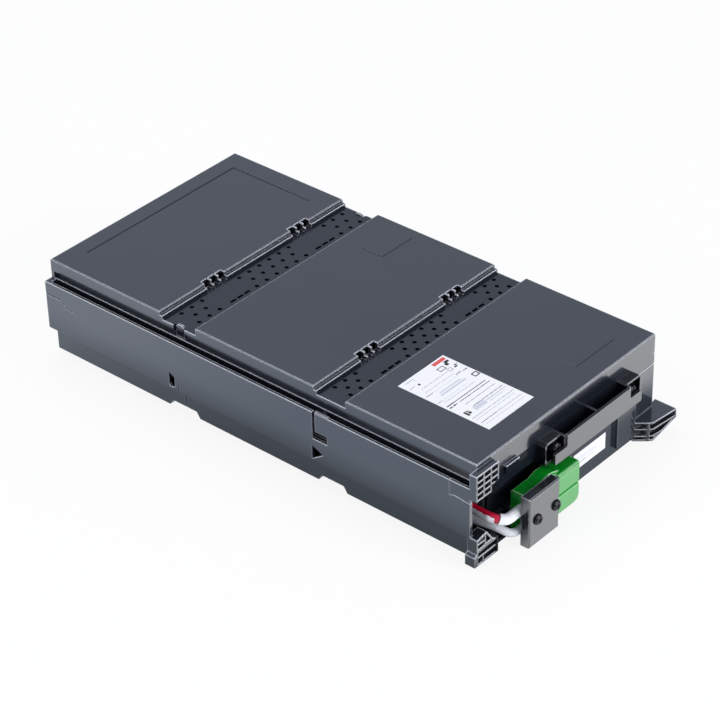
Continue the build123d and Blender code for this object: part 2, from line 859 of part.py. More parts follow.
def make_housing(axis_z, upper):
    """Half of the connector: body, thicker mating hood, mouth and lead entry."""
    low = axis_z - housing_height / 2 + 0.05
    high = axis_z + housing_height / 2 - 0.05
    hood_left = housing_right - hood_length
    hood_front = housing_front - hood_proud
    body = block(housing_left, housing_right, housing_front, front, low, high)
    body = chamfer(body.edges().filter_by(Axis.X), housing_edge)
    if upper:
        line = high - hood_line
        section = [(front, low), (hood_front, low), (hood_front, line), (hood_front + line_depth, line),
                   (hood_front + line_depth, line + line_width), (hood_front, line + line_width),
                   (hood_front, high - housing_edge), (hood_front + housing_edge, high), (front, high)]
        body += prism_x(section, hood_left, housing_right)
    else:
        section = [(front, low), (hood_front, low), (hood_front, high - hood_bevel),
                   (hood_front + hood_bevel, high), (front, high)]
        hood = prism_x(section, hood_left, housing_right)
        corner = prism_y([(housing_right - hood_corner, low - 1), (housing_right + 1, low - 1),
                          (housing_right + 1, low + hood_corner), (housing_right, low + hood_corner),
                          (housing_right - 0.3 * hood_corner, low + 0.3 * hood_corner),
                          (housing_right - hood_corner, low)], hood_front - 1, front + 1)
        body = body + hood - corner
    middle_y = (housing_front + front) / 2
    entry_end = housing_left + entry_depth
    mouth = housing_right - mouth_depth
    body -= block(mouth, housing_right + 1, middle_y - mouth_width / 2,
                  middle_y + mouth_width / 2, axis_z - mouth_height / 2, axis_z + mouth_height / 2)
    body -= rod_x(housing_left - 1, entry_end, lead_axis_y, lead_z(axis_z),
                  clear_of(lead_diameter, lead_sides, 0.02))
    body -= rod_x(entry_end, mouth + 1, lead_axis_y, lead_z(axis_z), contact_barrel)
    body -= block(mouth - 2, mouth + 1, middle_y - contact_width / 2, middle_y + contact_width / 2,
                  lead_z(axis_z) - contact_thickness / 2, lead_z(axis_z) + contact_thickness / 2)
    for x in plate_screws_x():
        body -= rod_y(housing_front - 5, front + 1, x, connector_middle,
                      clear_of(screw_diameter, boss_sides, fit))
    return body


def make_contacts():
    """Crimp barrel and flat blade of each pole."""
    contacts = []
    middle_y = (housing_front + front) / 2
    mouth = housing_right - mouth_depth
    for axis_z in (upper_axis, lower_axis):
        z = lead_z(axis_z)
        barrel = rod_x(housing_left + entry_depth, mouth, lead_axis_y, z, contact_barrel)
        blade = block(mouth - 2, housing_right - 3, middle_y - contact_width / 2,
                      middle_y + contact_width / 2, z - contact_thickness / 2, z + contact_thickness / 2)
        contacts.append(barrel + blade)
    return Compound(children=contacts)


def make_leaf():
    """Arched finger grip on top of the upper housing."""
    top = connector_middle + housing_height - 0.05
    left = housing_left + leaf_offset
    steps = 8
    arch = [(left + leaf_length * i / steps, top + leaf_rise * sin(pi * i / steps)) for i in range(steps + 1)]
    outline = [(left, top - 0.5)] + arch + [(left + leaf_length, top - 0.5)]
    return prism_y(outline, housing_front + leaf_inset, front - leaf_inset)


def make_plate():
    """Thick plate that clamps the connector against the tray."""
    low = connector_middle - plate_height / 2
    body = block(plate_left, plate_left + plate_width, plate_front, plate_back, low, low + plate_height)
    front_edges = body.faces().sort_by(Axis.Y)[0].edges()
    body = chamfer(front_edges, plate_edge)
    for x in plate_screws_x():
        body -= rod_y(plate_front - 1, plate_back + 1, x, connector_middle,
                      clear_of(screw_diameter, boss_sides, fit))
    return body


def make_screw(x, z, seat, tip):
    """Tapping screw with a raised head, its axis along Y."""
    crown = seat - screw_head_height
    shank = rod_y(seat - 0.5, tip, x, z, screw_diameter)
    head = rod_y(crown, seat, x, z, screw_head, screw_sides)
    head = chamfer(head.faces().sort_by(Axis.Y)[0].edges(), screw_crown)
    arm = cross_length / 2
    slot = cross_width / 2
    cross = block(x - arm, x + arm, crown - 1, crown + cross_depth, z - slot, z + slot)
    cross += block(x - slot, x + slot, crown - 1, crown + cross_depth, z - arm, z + arm)
    return shank + head - cross


def make_plate_screws():
    """Screws through the plate and both housings into the tray's bosses."""
    return Compound(children=[make_screw(x, connector_middle, plate_front, bay_back)
                              for x in plate_screws_x()])


def make_handle_screws():
    """Screws through the handle's boxes into the cover's bosses."""
    return Compound(children=[make_screw(x, handle_screw_z, handle_box_front, bay_back - gap - 1.5)
                              for x in handle_screws_x()])


def make_handle():
    """Pull handle: a grip with stepped ends, a closed floor, ribs and two open screwed boxes."""
    top = handle_bottom + grip_height
    step = top - grip_notch
    grip_back = handle_front + grip_thickness
    long_half = handle_width / 2 - grip_inset
    short_half = long_half - grip_step
    outline = [(-long_half, handle_bottom), (long_half, handle_bottom), (long_half, step),
               (short_half, step), (short_half, top), (-short_half, top), (-short_half, step),
               (-long_half, step)]
    grip = prism_y([(handle_centre + x, z) for x, z in outline], handle_front, grip_back)
    grip = chamfer(grip.edges().filter_by(Axis.Y), grip_edge)
    grip += block(handle_centre - long_half + 1, handle_centre + long_half - 1, grip_back - 1, front,
                  handle_bottom, handle_bottom + handle_floor)
    for x in (handle_inner_left, handle_centre + handle_wall / 2, handle_inner_right + handle_wall):
        grip += block(x - handle_wall, x, grip_back - 1, front, handle_bottom, top)
    rail = front - grip_rail
    grip += block(handle_inner_left - 0.5, handle_inner_right + 0.5, rail - handle_wall, rail,
                  handle_bottom, handle_bottom + grip_rail_height)
    box_top = handle_bottom + handle_box_height
    for x0, x1, screw_x in ((handle_left, handle_inner_left, handle_screws_x()[0]),
                            (handle_inner_right, handle_right, handle_screws_x()[1])):
        case = block(x0, x1, handle_box_front, front, handle_bottom, box_top)
        case = chamfer(case.edges().filter_by(Axis.Y).sort_by(Axis.Z)[-2:], handle_corner)
        case -= block(x0 + handle_wall, x1 - handle_wall, handle_box_front - 1, front - handle_floor,
                      handle_bottom + handle_floor, box_top - handle_wall)
        case += rod_y(handle_box_front, front, screw_x, handle_screw_z, boss_diameter)
        grip += case
        grip -= rod_y(handle_box_front - 1, front + 1, screw_x, handle_screw_z,
                      clear_of(screw_diameter, boss_sides, fit))
    return grip


def make_pads(low, high):
    """Foam sheets under or over the six blocks."""
    pads = []
    reach = block_width / 2 - pad_margin
    for face_y, way in block_rows.values():
        for x in block_columns.values():
            y0, y1 = sorted((face_y - way * pad_margin, face_y - way * (block_length - pad_margin)))
            pads.append(block(x - reach, x + reach, y0, y1, low, high))
    return Compound(children=pads)


def make_top_label():
    """Thin label on the front panel."""
    left = -half + top_label_left
    return block(left, left + top_label_width, front + top_label_front, panels[2][1] - top_label_rear,
                 body_height, body_height + label_thickness)


def make_front_label():
    """Thin label on the tray's front wall, with its lower left corner cut."""
    space = panel_plate_left - bay_right
    left = bay_right + front_label_left * space
    right = panel_plate_left - front_label_right * space
    low = front_label_foot
    high = low + front_label_height
    outline = [(left + front_label_corner, low), (right, low), (right, high), (left, high),
               (left, low + front_label_corner)]
    return prism_y(outline, front - label_thickness, front)


def build_parts():
    """All sub-parts by node name."""
    parts = {
        "tray": make_tray(),
        "top_cover": make_cover(),
        "terminal_tabs": make_tabs(),
        "terminal_boots": make_boots(),
        "floor_pads": make_pads(wall, block_base),
        "lid_pads": make_pads(block_top, body_height - wall - gap),
        "jumper_rear": straight_jumper("rear"),
        "jumper_middle": straight_jumper("middle"),
        "jumper_front": straight_jumper("front"),
        "jumper_rear_loop": rear_loop_jumper(),
        "jumper_corridor": corridor_jumper(),
        "positive_lead": bent_wire(positive_route(), lead_diameter, lead_sides),
        "negative_lead": bent_wire(negative_route(), lead_diameter, lead_sides),
        "lead_sleeve": make_sleeve(),
        "connector_upper": make_housing(upper_axis, True) + make_leaf(),
        "connector_lower": make_housing(lower_axis, False),
        "connector_contacts": make_contacts(),
        "connector_plate": make_plate(),
        "plate_screws": make_plate_screws(),
        "handle": make_handle(),
        "handle_screws": make_handle_screws(),
        "label_top": make_top_label(),
        "label_front": make_front_label(),
    }
    for row in block_rows:
        for column in block_columns:
            parts["battery_" + row + "_" + column] = make_block(row, column)
    return parts


os.makedirs("parts", exist_ok=True)
for name, shape in build_parts().items():
    export_step(shape, "parts/" + name + ".step")
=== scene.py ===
# %% [markdown]
# A battery cartridge is a long moulded case: a tray, a cover, a handle and a connector. The solid
# pieces come ready from the CAD frame, so this lesson is about light and finish, the print on two
# labels, and one split sleeve. Loading the frame first gives every piece its true place: each
# node sits at the origin with its place in its mesh, in metres, with the front facing -Y.

import math

import bmesh
import bpy
from mathutils import Matrix, Vector


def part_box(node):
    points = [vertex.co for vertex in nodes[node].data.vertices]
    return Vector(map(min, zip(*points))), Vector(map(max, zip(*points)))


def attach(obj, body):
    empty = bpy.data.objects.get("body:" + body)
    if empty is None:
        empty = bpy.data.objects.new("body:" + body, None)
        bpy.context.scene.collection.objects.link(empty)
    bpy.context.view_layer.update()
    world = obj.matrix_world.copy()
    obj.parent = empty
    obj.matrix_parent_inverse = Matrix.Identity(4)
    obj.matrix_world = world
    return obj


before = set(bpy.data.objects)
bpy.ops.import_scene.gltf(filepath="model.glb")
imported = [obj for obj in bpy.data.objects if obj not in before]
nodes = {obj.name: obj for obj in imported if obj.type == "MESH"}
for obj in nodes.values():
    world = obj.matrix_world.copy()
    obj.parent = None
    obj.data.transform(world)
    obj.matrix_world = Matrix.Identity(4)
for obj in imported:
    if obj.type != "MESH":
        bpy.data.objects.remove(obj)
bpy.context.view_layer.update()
bpy.context.scene.view_settings.view_transform = "Standard"
print("nodes loaded:", len(nodes))

# %% [markdown]
# The photograph was taken from the front left and from above with a long lens. A camera is fixed
# by where it stands, the compass direction it looks in, how far it looks down and its roll. These
# four came from the vanishing points of the case's long edges, and they build the camera's matrix
# directly: its columns are right, up and back.

# %% Camera
CAMERA_PLACE = Vector((-1.2561, -1.1299, 1.1815))
CAMERA_TURN = math.radians(-48.3616)
CAMERA_TILT = math.radians(34.4432)
CAMERA_ROLL = math.radians(-1.47926)
CAMERA_LENS = 134.504
CAMERA_SENSOR = 36
CAMERA_REACH = 30


def make_camera():
    """Camera at the photograph's place, built from its turn, tilt and roll."""
    right = Vector((math.cos(CAMERA_TURN), math.sin(CAMERA_TURN), 0))
    back = Vector((math.sin(CAMERA_TURN) * math.cos(CAMERA_TILT),
                   -math.cos(CAMERA_TURN) * math.cos(CAMERA_TILT), math.sin(CAMERA_TILT)))
    up = back.cross(right)
    rolled_right = math.cos(CAMERA_ROLL) * right + math.sin(CAMERA_ROLL) * up
    rolled_up = math.cos(CAMERA_ROLL) * up - math.sin(CAMERA_ROLL) * right
    data = bpy.data.cameras.new("camera")
    data.lens = CAMERA_LENS
    data.sensor_width = CAMERA_SENSOR
    data.clip_end = CAMERA_REACH
    camera = bpy.data.objects.new("camera", data)
    bpy.context.scene.collection.objects.link(camera)
    turn = Matrix((rolled_right, rolled_up, back)).transposed().to_4x4()
    camera.matrix_world = Matrix.Translation(CAMERA_PLACE) @ turn
    bpy.context.scene.camera = camera
    return camera


camera = make_camera()
print("camera distance:", round(camera.matrix_world.translation.length, 3), "m")

# %% [markdown]
# Shader maths reads best as arithmetic. A value in a node tree is wrapped in a small class whose
# operators add Math nodes, so a painted edge highlight can be written as edge * noise.


# %% Arithmetic on shader values
class Value:
    """One output socket of a material; plain arithmetic on it adds Math nodes."""

    def __init__(self, finish, socket):
        self.finish = finish
        self.socket = socket

    def maths(self, operation, first, second=0.0, clamp=False):
        """Result of a Math node."""
        settings = {"operation": operation, "use_clamp": clamp}
        return self.finish.node("ShaderNodeMath", settings, {0: first, 1: second})

    def __add__(self, other):
        return self.maths("ADD", self, other)

    __radd__ = __add__

    def __sub__(self, other):
        return self.maths("SUBTRACT", self, other)

    def __rsub__(self, other):
        return self.maths("SUBTRACT", other, self)

    def __mul__(self, other):
        return self.maths("MULTIPLY", self, other)

    __rmul__ = __mul__

    def clamped(self):
        """The value held between 0 and 1."""
        return self.maths("ADD", self, 0.0, clamp=True)

    def unsigned(self):
        """The value without its sign."""
        return self.maths("ABSOLUTE", self)

    def above(self, limit):
        """1 where the value is greater than limit, else 0."""
        return self.maths("GREATER_THAN", self, limit)

    def between(self, low, high):
        """1 where the value lies between two limits, else 0."""
        return self.above(low) * (1.0 - self.above(high))

    def ramp(self, start, rate):
        """0 at start, then up to 1 at a rate for each unit; a negative rate climbs downwards."""
        return ((self - start) * rate).clamped()


print("operators of a shader value:", sum(name.startswith("__r") for name in vars(Value)) * 2)

# %% [markdown]
# Everything else in a material goes through one method that makes a node, sets its options first,
# and then fills or links its sockets. A finish also needs a way to change its whole nature from
# place to place, from gloss to dull or from paper to light: a Mix Shader does that, with a mask.

# %% Making a finish
COLOUR_A, COLOUR_B, COLOUR_OUT = 6, 7, 2  # the colour sockets of a Mix node
BEVEL_SAMPLES = 6
AIR_SAMPLES = 8
# Painted edge highlight: where it starts, what share of it upright edges keep, how open its air
# must be; gaps shut below SHUT_BELOW get painted shade.
EDGE_STARTS, EDGE_RATE = 0.97273, -22.0   # an edge lights up once its normal has turned 13 degrees
UPWARD_GAIN, UPRIGHT_SHARE = 3.0, 0.2     # upright edges keep a fifth of the line
AIR_REACH = 0.6                           # in widths of the edge
OPEN_ABOVE, SHUT_BELOW, AIR_RATE = 0.65, 0.62, 4.0


class Finish:
    """A material under construction, with one shader and helpers for its patterns."""

    def __init__(self, name):
        self.material = bpy.data.materials.new(name)
        self.material.use_nodes = True
        self.tree = self.material.node_tree
        self.tree.nodes.clear()
        self.output = self.tree.nodes.new("ShaderNodeOutputMaterial")
        self.shader = self.tree.nodes.new("ShaderNodeBsdfPrincipled")
        self.tree.links.new(self.shader.outputs[0], self.output.inputs[0])

    def fill(self, socket, content):
        """Links a value to a socket, or sets the socket's number or colour."""
        if isinstance(content, Value):
            self.tree.links.new(content.socket, socket)
        elif isinstance(content, tuple) and len(content) == 3 and socket.type == "RGBA":
            socket.default_value = (*content, 1.0)
        else:
            socket.default_value = content

    def node(self, kind, settings, inputs, output=0):
        """Makes a node: its settings first, then its sockets; returns one output."""
        made = self.tree.nodes.new(kind)
        for name, content in settings.items():
            setattr(made, name, content)
        for name, content in inputs.items():
            self.fill(made.inputs[name], content)
        return Value(self, made.outputs[output])

    def place(self, scale=(1, 1, 1)):
        """Object coordinates, stretched."""
        where = self.node("ShaderNodeTexCoord", {}, {}, "Object")
        return self.node("ShaderNodeMapping", {}, {"Vector": where, "Scale": scale})

    def noise(self, scale, detail=2.0, where=None):
        """Soft noise from 0 to 1."""
        inputs = {"Vector": where or self.place(), "Scale": scale, "Detail": detail}
        return self.node("ShaderNodeTexNoise", {}, inputs, "Fac")

    def mix(self, factor, first, second):
        """Blend of two colours."""
        inputs = {0: factor, COLOUR_A: first, COLOUR_B: second}
        return self.node("ShaderNodeMix", {"data_type": "RGBA"}, inputs, COLOUR_OUT)

    def share(self, vector, letter):
        """The X, Y or Z of a vector."""
        return self.node("ShaderNodeSeparateXYZ", {}, {0: vector}, letter)

    def axis(self, letter):
        """One coordinate, X, Y or Z, of the place on the object."""
        return self.share(self.node("ShaderNodeTexCoord", {}, {}, "Object"), letter)

    def softened(self, radius):
        """Surface normal with its edges rounded off."""
        return self.node("ShaderNodeBevel", {"samples": BEVEL_SAMPLES}, {"Radius": radius})

    def highlight_and_shade_masks(self, width):
        """Two masks: outward edges that face up, for a painted highlight, and narrow gaps and
        corners, for painted shade.
        """
        rounded = self.softened(width)
        true_way = self.node("ShaderNodeNewGeometry", {}, {}, "Normal")
        same_way = self.node("ShaderNodeVectorMath", {"operation": "DOT_PRODUCT"},
                             {0: rounded, 1: true_way}, "Value")
        upward = (self.share(rounded, "Z") * UPWARD_GAIN + UPRIGHT_SHARE).clamped()
        open_air = self.node("ShaderNodeAmbientOcclusion",
                             {"samples": AIR_SAMPLES, "only_local": True},
                             {"Distance": width * AIR_REACH}, "AO")
        turned = same_way.ramp(EDGE_STARTS, EDGE_RATE)
        edges = turned * upward * open_air.ramp(OPEN_ABOVE, AIR_RATE)
        return edges, open_air.ramp(SHUT_BELOW, -AIR_RATE)

    def relief(self, height, depth, normal=None):
        """Bumps from a height pattern, depth in metres."""
        inputs = {"Height": height, "Distance": depth, "Strength": 1.0}
        if normal is not None:
            inputs["Normal"] = normal
        return self.node("ShaderNodeBump", {}, inputs)

    def turned_into(self, kind, mask, colour):
        """Where mask is 1, a shader of another kind, in one colour, takes over."""
        other = self.tree.nodes.new(kind)
        self.fill(other.inputs["Color"], colour)
        blend = self.tree.nodes.new("ShaderNodeMixShader")
        self.fill(blend.inputs[0], mask)
        self.tree.links.new(self.shader.outputs[0], blend.inputs[1])
        self.tree.links.new(other.outputs[0], blend.inputs[2])
        self.tree.links.new(blend.outputs[0], self.output.inputs[0])

    def surface(self, **inputs):
        """Fills the shader's sockets, named with spaces as underscores; returns the material."""
        for name, content in inputs.items():
            self.fill(self.shader.inputs[name.replace("_", " ")], content)
        return self.material


print("helpers of a finish:", sum(not name.startswith("_") for name in vars(Finish)))

# %% [markdown]
# The case is polished black plastic in a bright studio. Almost all of its grey is reflection: its
# walls look light because they mirror the pale floor, its lids look slate blue because they mirror
# the darker air above, and every pocket stays black. So the base colour is nearly black, and a
# clear coat over a strong gloss does the rest. Noises keep it from looking like glass: a cloud and
# long rubs move the roughness, and a fine grain moves the surface by microns. On a real moulding
# each outward edge is a small round that always catches a lamp; here that highlight is painted
# into the base colour. The Bevel node finds those edges without more faces: where its rounded
# normal leaves the true one, in open air and facing up, a thin pale line of painted highlight is
# drawn. Ambient Occlusion finds the opposite places, the narrow gaps, which lose their gloss and
# turn matt black as painted shade.

# %% Moulded plastic
# EDGE_WIDTH is the width of the painted highlight on edges.
EDGE_WIDTH = 0.0015          # of the pale line
EDGE_ROUND = 0.00075         # radius that the light sees on every edge
EDGE_UNEVENNESS = 0.15       # how much weaker the line may get
GRAIN_SCALE, GRAIN_DEPTH = 1500.0, 0.000002
CLOUD_SCALE = 9.0
RUB_SCALE, RUB_STRETCH = 30.0, (1.0, 0.12, 1.0)
ROUGHNESS_SWING = 0.08
HANDLED_GAIN, HANDLED_LIFT = 1.35, 0.001   # handled places are a little lighter
COLD_SHINE = (0.86, 0.93, 1.0)
COAT_ROUGHNESS = 0.07


def nowhere(finish):
    """A mask that is 0 everywhere."""
    return 0.0


def moulded_plastic(name, colour, painted_highlight_colour, rough, gloss=1.6, coat=1.7,
                    matt=nowhere, unlit=nowhere):
    """Dark polished plastic with a fine grain, faint handling marks, painted edge highlights and
    painted shade in narrow gaps.
    """
    finish = Finish(name)
    grain = finish.noise(GRAIN_SCALE, detail=3.0)
    cloud = finish.noise(CLOUD_SCALE, detail=3.0)
    rubs = finish.noise(RUB_SCALE, detail=5.0, where=finish.place(RUB_STRETCH))
    edges, shaded_gaps = finish.highlight_and_shade_masks(EDGE_WIDTH)
    # Painted highlight: a pale line along outward edges that face up, mixed into the base colour.
    lit = edges * (1.0 - EDGE_UNEVENNESS * (1.0 - cloud)) * (1.0 - unlit(finish))
    roughness = rough + ROUGHNESS_SWING * (cloud + rubs - 1.0)
    handled = tuple(part * HANDLED_GAIN + HANDLED_LIFT for part in colour)
    body = finish.mix(lit, finish.mix(cloud, colour, handled), painted_highlight_colour)
    normal = finish.relief(grain, GRAIN_DEPTH, finish.softened(EDGE_ROUND))
    # Painted shade turns narrow gaps matt black; the mask argument adds the shaded bay and latch
    # and the duller channels.
    finish.turned_into("ShaderNodeBsdfDiffuse", (shaded_gaps + matt(finish)).clamped(), colour)
    return finish.surface(Base_Color=body, Roughness=roughness.clamped(), Normal=normal,
                          IOR=gloss, Specular_Tint=(*COLD_SHINE, 1.0), Coat_Weight=1.0,
                          Coat_IOR=coat, Coat_Roughness=COAT_ROUGHNESS)


print("width of a lit edge:", EDGE_WIDTH * 1000, "mm")

# %% [markdown]
# Not every place on the cover should shine alike. The walls in the bay behind the connector and
# the notch of the latch are turned matt black as painted shade, the perforated channels are a
# little duller than the lids, and the shallow fields in the middle of each lid get no painted edge
# highlight, as their edges are too low to catch a light. Each of those places is a mask made from
# object coordinates, tied to the pieces that bound it.

# %% Places with a finish of their own
LID_ENDS = (-0.2100, -0.0905, -0.0630, 0.0565, 0.0905, 0.2100)  # of the three lids, from the front
LID_RIM = 0.009          # the lit edge of a lid lies within this of its end
LID_SKIN = 0.002         # what lies within this of the lids' height is on a lid
QUIET_HALF = 0.096       # half the width of a lid's quiet middle
CHANNEL_HALF = 0.103
CHANNEL_DROP = 0.005     # a channel lies at least this far below the lids
BAY_REAR, BAY_TOP = -0.190, 0.0640
BAY_MARGIN = 0.025       # how far the bay goes on beyond the connector's left end
BAY_SHADE, CHANNEL_DULLNESS = 0.9, 0.35
LATCH_ENDS = (0.0680, 0.0790)
LATCH_FOOT, LATCH_DROP, LATCH_BACK = 0.0600, 0.0045, -0.1018

lid_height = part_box("label_top")[0].z
bay_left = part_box("connector_upper")[0].x - BAY_MARGIN
bay_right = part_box("connector_upper")[1].x


def channels(finish):
    """1 at the floors of the two channels and in their holes."""
    along = finish.axis("Y")
    rows = along.between(*LID_ENDS[1:3]) + along.between(*LID_ENDS[3:5])
    below = 1.0 - finish.axis("Z").above(lid_height - CHANNEL_DROP)
    return rows * below * finish.axis("X").between(-CHANNEL_HALF, CHANNEL_HALF)


def quiet_lids(finish):
    """1 in the channels and over the middle of each lid."""
    along = finish.axis("Y")
    lids = zip(LID_ENDS[0::2], LID_ENDS[1::2])
    middles = sum((along.between(low + LID_RIM, high - LID_RIM) for low, high in lids), 0.0)
    on_lid = finish.axis("Z").above(lid_height - LID_SKIN)
    on_lid = on_lid * finish.axis("X").between(-QUIET_HALF, QUIET_HALF)
    return (channels(finish) + middles * on_lid).clamped()


def connector_bay(finish):
    """Painted shade: the walls behind and beside the connector lose most of their gloss and turn
    matt black.
    """
    low_front = 1.0 - finish.axis("Z").above(BAY_TOP)
    low_front = low_front * (1.0 - finish.axis("Y").above(BAY_REAR))
    return BAY_SHADE * finish.axis("X").between(bay_left, bay_right) * low_front


def latch(finish):
    """1 in the notch of the side latch."""
    on_side = finish.axis("Y").between(*LATCH_ENDS) * (1.0 - finish.axis("X").above(LATCH_BACK))
    return on_side * finish.axis("Z").between(LATCH_FOOT, lid_height - LATCH_DROP)


def dull_and_shaded_cover(finish):
    """Painted shade dulls the cover behind the connector and in the latch; the channels are a
    little duller.
    """
    dull = connector_bay(finish) + latch(finish) + CHANNEL_DULLNESS * channels(finish)
    return dull.clamped()


def unlit_cover(finish):
    """No painted edge highlights on the quiet parts of the lids or in the latch."""
    return (quiet_lids(finish) + latch(finish)).clamped()


print("lids at", round(lid_height * 1000, 1), "mm; bay from", round(bay_left * 1000, 1), "to",
      round(bay_right * 1000, 1), "mm")

# %% [markdown]
# Six mouldings differ only in a few numbers, so one function makes them all. Cover and tray are
# almost black with pale painted highlights on their edges. The handle's edges are thick and get
# only a faint painted highlight. The plate is rougher. The green of the connector has a weaker
# gloss, which keeps its colour strong, and a pale green painted highlight on its edges; the sealed
# blocks inside are plain grey and matt.

# %% The six plastics
# Pale colour of the painted highlight on the case's edges.
PAINTED_EDGE_HIGHLIGHT = (0.86, 0.88, 0.92)
case_plastic = moulded_plastic("case_plastic", (0.008, 0.010, 0.015), PAINTED_EDGE_HIGHLIGHT, 0.22,
                               matt=dull_and_shaded_cover, unlit=unlit_cover)
tray_plastic = moulded_plastic("tray_plastic", (0.010, 0.012, 0.017), PAINTED_EDGE_HIGHLIGHT, 0.20,
                               matt=connector_bay)
handle_plastic = moulded_plastic("handle_plastic", (0.004, 0.004, 0.005),
                                 (0.14, 0.14, 0.15), 0.16)
plate_plastic = moulded_plastic("plate_plastic", (0.010, 0.010, 0.012),
                                (0.50, 0.51, 0.54), 0.24)
green_plastic = moulded_plastic("green_plastic", (0.003, 0.27, 0.016),
                                (0.66, 1.0, 0.62), 0.16, gloss=1.5, coat=1.5)
block_plastic = moulded_plastic("block_plastic", (0.030, 0.032, 0.036),
                                (0.08, 0.08, 0.09), 0.45, gloss=1.45, coat=1.4)
print("materials so far:", len(bpy.data.materials))

# %% [markdown]
# Lead insulation is smooth PVC with a faint waviness, and the sleeve is woven from flat threads. A
# noise stands for the one, and the higher of two crossed waves for the other. Each moves the
# colour, the roughness and the surface together, as the real structure does.

# %% Insulation and sleeve
LEAD_CLOUD_SCALE, LEAD_ROUGHNESS, LEAD_SWING = 60.0, 0.24, 0.16
WAVINESS_SCALE, WAVINESS_DEPTH = 900.0, 0.00001
THREAD_SCALE, THREAD_WANDER, THREAD_DEPTH = 260.0, 0.6, 0.00018
THREAD_ROUGHNESS, THREAD_SWING = 0.62, 0.14


def lead_insulation(name, colour, shade):
    """Smooth flexible insulation, slightly uneven in colour and gloss."""
    finish = Finish(name)
    cloud = finish.noise(LEAD_CLOUD_SCALE, detail=4.0)
    waviness = finish.relief(finish.noise(WAVINESS_SCALE), WAVINESS_DEPTH)
    roughness = (LEAD_ROUGHNESS + LEAD_SWING * cloud).clamped()
    return finish.surface(Base_Color=finish.mix(cloud, colour, shade), Roughness=roughness,
                          Normal=waviness, Coat_Weight=0.2)


def thread_waves(finish, scale):
    """Slanting bands, as one layer of flat threads."""
    inputs = {"Vector": finish.place(scale), "Scale": THREAD_SCALE, "Distortion": THREAD_WANDER}
    return finish.node("ShaderNodeTexWave", {"bands_direction": "DIAGONAL"}, inputs, "Fac")


def woven_sleeve(name):
    """White sleeve of crossed flat threads."""
    finish = Finish(name)
    along, across = thread_waves(finish, (1, 1, 1)), thread_waves(finish, (-1, 1, 1))
    weave = along.maths("MAXIMUM", along, across)
    body = finish.mix(weave, (0.70, 0.71, 0.73), (0.92, 0.92, 0.93))
    roughness = (THREAD_ROUGHNESS - THREAD_SWING * weave).clamped()
    return finish.surface(Base_Color=body, Roughness=roughness,
                          Normal=finish.relief(weave, THREAD_DEPTH))


red_insulation = lead_insulation("red_insulation", (0.62, 0.006, 0.045), (0.45, 0.004, 0.030))
grey_insulation = lead_insulation("grey_insulation", (0.84, 0.85, 0.87), (0.70, 0.71, 0.74))
black_insulation = lead_insulation("black_insulation", (0.018, 0.018, 0.020),
                                   (0.030, 0.030, 0.032))
boot_rubber = lead_insulation("boot_rubber", (0.30, 0.012, 0.016), (0.22, 0.009, 0.012))
sleeve_weave = woven_sleeve("sleeve_weave")
print("materials so far:", len(bpy.data.materials))

# %% [markdown]
# Foam has fine pores, which a cell pattern gives: each cell is a pit whose darker middle is
# painted shade. The tapping screws are black oxide over steel, and the contacts and tabs are
# plated strip.
# Strip and wire are drawn through a die, so their marks are a noise squeezed along one direction.

# %% Foam and metal
PORE_SCALE, PORE_DEPTH = 900.0, 0.0003
PORE_ROUGHNESS, PORE_SWING = 0.85, 0.1
DRAWN_SCALE, DRAWN_STRETCH, DRAWN_DEPTH = 400.0, (1.0, 14.0, 1.0), 0.00001
DRAWN_SWING, METAL_ROUND = 0.2, 0.0003


def foam_sheet(name):
    """Closed-cell foam with fine pores, darker at their middles as painted shade."""
    finish = Finish(name)
    inputs = {"Vector": finish.place(), "Scale": PORE_SCALE}
    pores = finish.node("ShaderNodeTexVoronoi", {}, inputs, "Distance")
    body = finish.mix(pores.clamped(), (0.012, 0.012, 0.013), (0.055, 0.055, 0.058))
    roughness = (PORE_ROUGHNESS + PORE_SWING * pores).clamped()
    return finish.surface(Base_Color=body, Roughness=roughness,
                          Normal=finish.relief(pores, PORE_DEPTH))


def bare_metal(name, colour, shade, rough):
    """Drawn or plated metal with fine lines along it."""
    finish = Finish(name)
    lines = finish.noise(DRAWN_SCALE, detail=4.0, where=finish.place(DRAWN_STRETCH))
    roughness = (rough + DRAWN_SWING * lines).clamped()
    normal = finish.relief(lines, DRAWN_DEPTH, finish.softened(METAL_ROUND))
    return finish.surface(Base_Color=finish.mix(lines, colour, shade), Metallic=1.0,
                          Roughness=roughness, Normal=normal)


foam_black = foam_sheet("foam_black")
screw_steel = bare_metal("screw_steel", (0.012, 0.012, 0.013), (0.05, 0.05, 0.055), 0.16)
contact_metal = bare_metal("contact_metal", (0.80, 0.78, 0.74), (0.60, 0.58, 0.55), 0.18)
tab_metal = bare_metal("tab_metal", (0.78, 0.66, 0.42), (0.62, 0.50, 0.30), 0.22)
print("materials so far:", len(bpy.data.materials))

# %% [markdown]
# A label is a plastic film with a varnish over its ink. Film and ink are therefore one kind of
# surface in several colours: smooth, faintly clouded, with a fibre so fine that it only breaks up
# the shine.

# %% Label film and inks
FILM_CLOUD_SCALE, FILM_SWING = 25.0, 0.12
FIBRE_SCALE, FIBRE_DEPTH = 1400.0, 0.000004


def printed_film(name, colour, shade, rough):
    """Printed plastic film with a faint pearl of its varnish."""
    finish = Finish(name)
    cloud = finish.noise(FILM_CLOUD_SCALE, detail=3.0)
    fibre = finish.relief(finish.noise(FIBRE_SCALE), FIBRE_DEPTH)
    roughness = (rough + FILM_SWING * cloud).clamped()
    return finish.surface(Base_Color=finish.mix(cloud, colour, shade), Roughness=roughness,
                          Normal=fibre)


